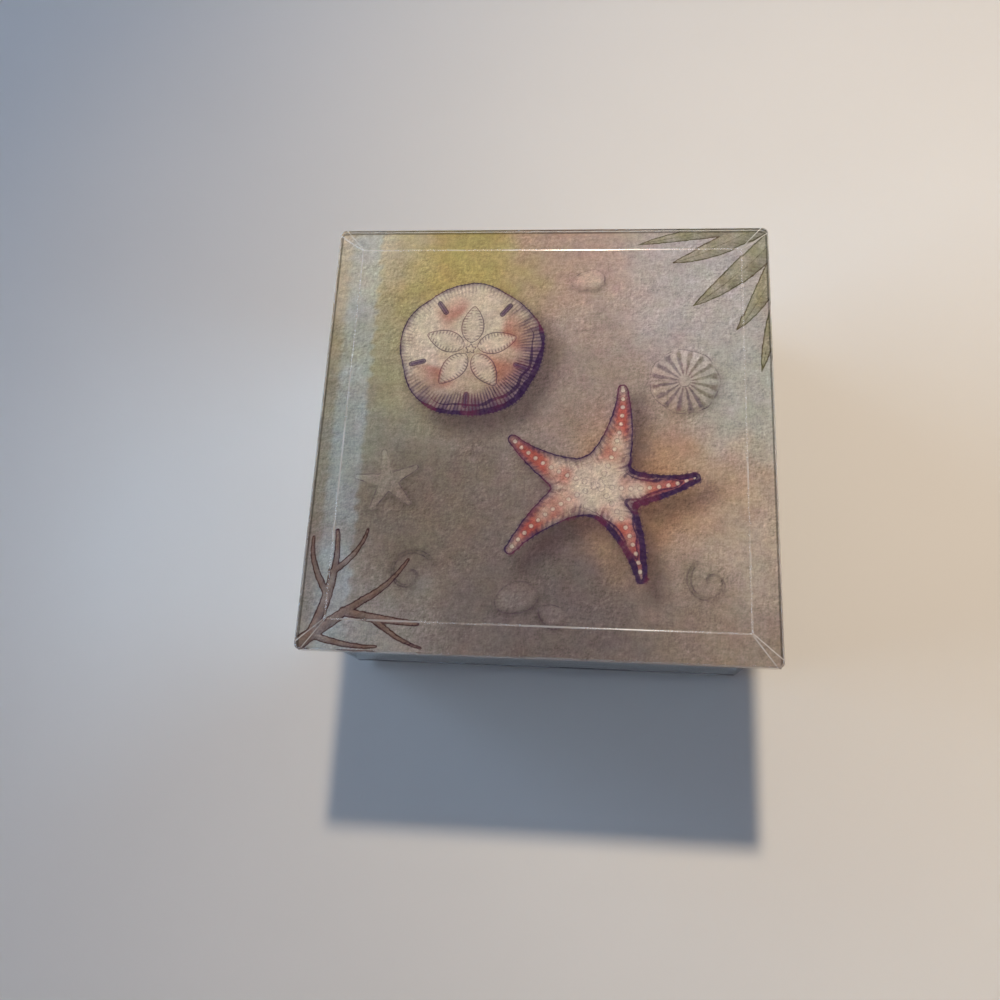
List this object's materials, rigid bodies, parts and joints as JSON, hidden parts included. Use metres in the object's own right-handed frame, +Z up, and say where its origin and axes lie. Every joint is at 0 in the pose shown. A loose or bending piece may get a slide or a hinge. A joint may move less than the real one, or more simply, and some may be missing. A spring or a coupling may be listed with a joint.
{
  "type": "glass trinket box",
  "caption": "Square mirrored glass trinket box with a lift-off bevelled glass lid over a printed seaside picture.",
  "frame": {"origin": "on the standing surface, under the middle of the box", "axes": "+Z up through the lid, -Y towards the front wall, +X to the right as seen from the front"},
  "size_m": [0.1, 0.1, 0.0466],
  "materials": {
    "lid_glass": "polished clear float glass with a polished bevel and ground arrises",
    "picture": "matt print of a seaside picture, bonded under the glass",
    "mirror": "silvered float glass, polished, with ground edges",
    "felt": "pressed dark felt"
  },
  "bodies": {
    "root": {"lid_glass": "lid_glass", "lid_picture": "picture", "lid_backing": "mirror", "front_wall": "mirror", "back_wall": "mirror", "left_wall": "mirror", "right_wall": "mirror", "base_plate": "mirror", "felt_pad": "felt"}
  },
  "joints": []
}
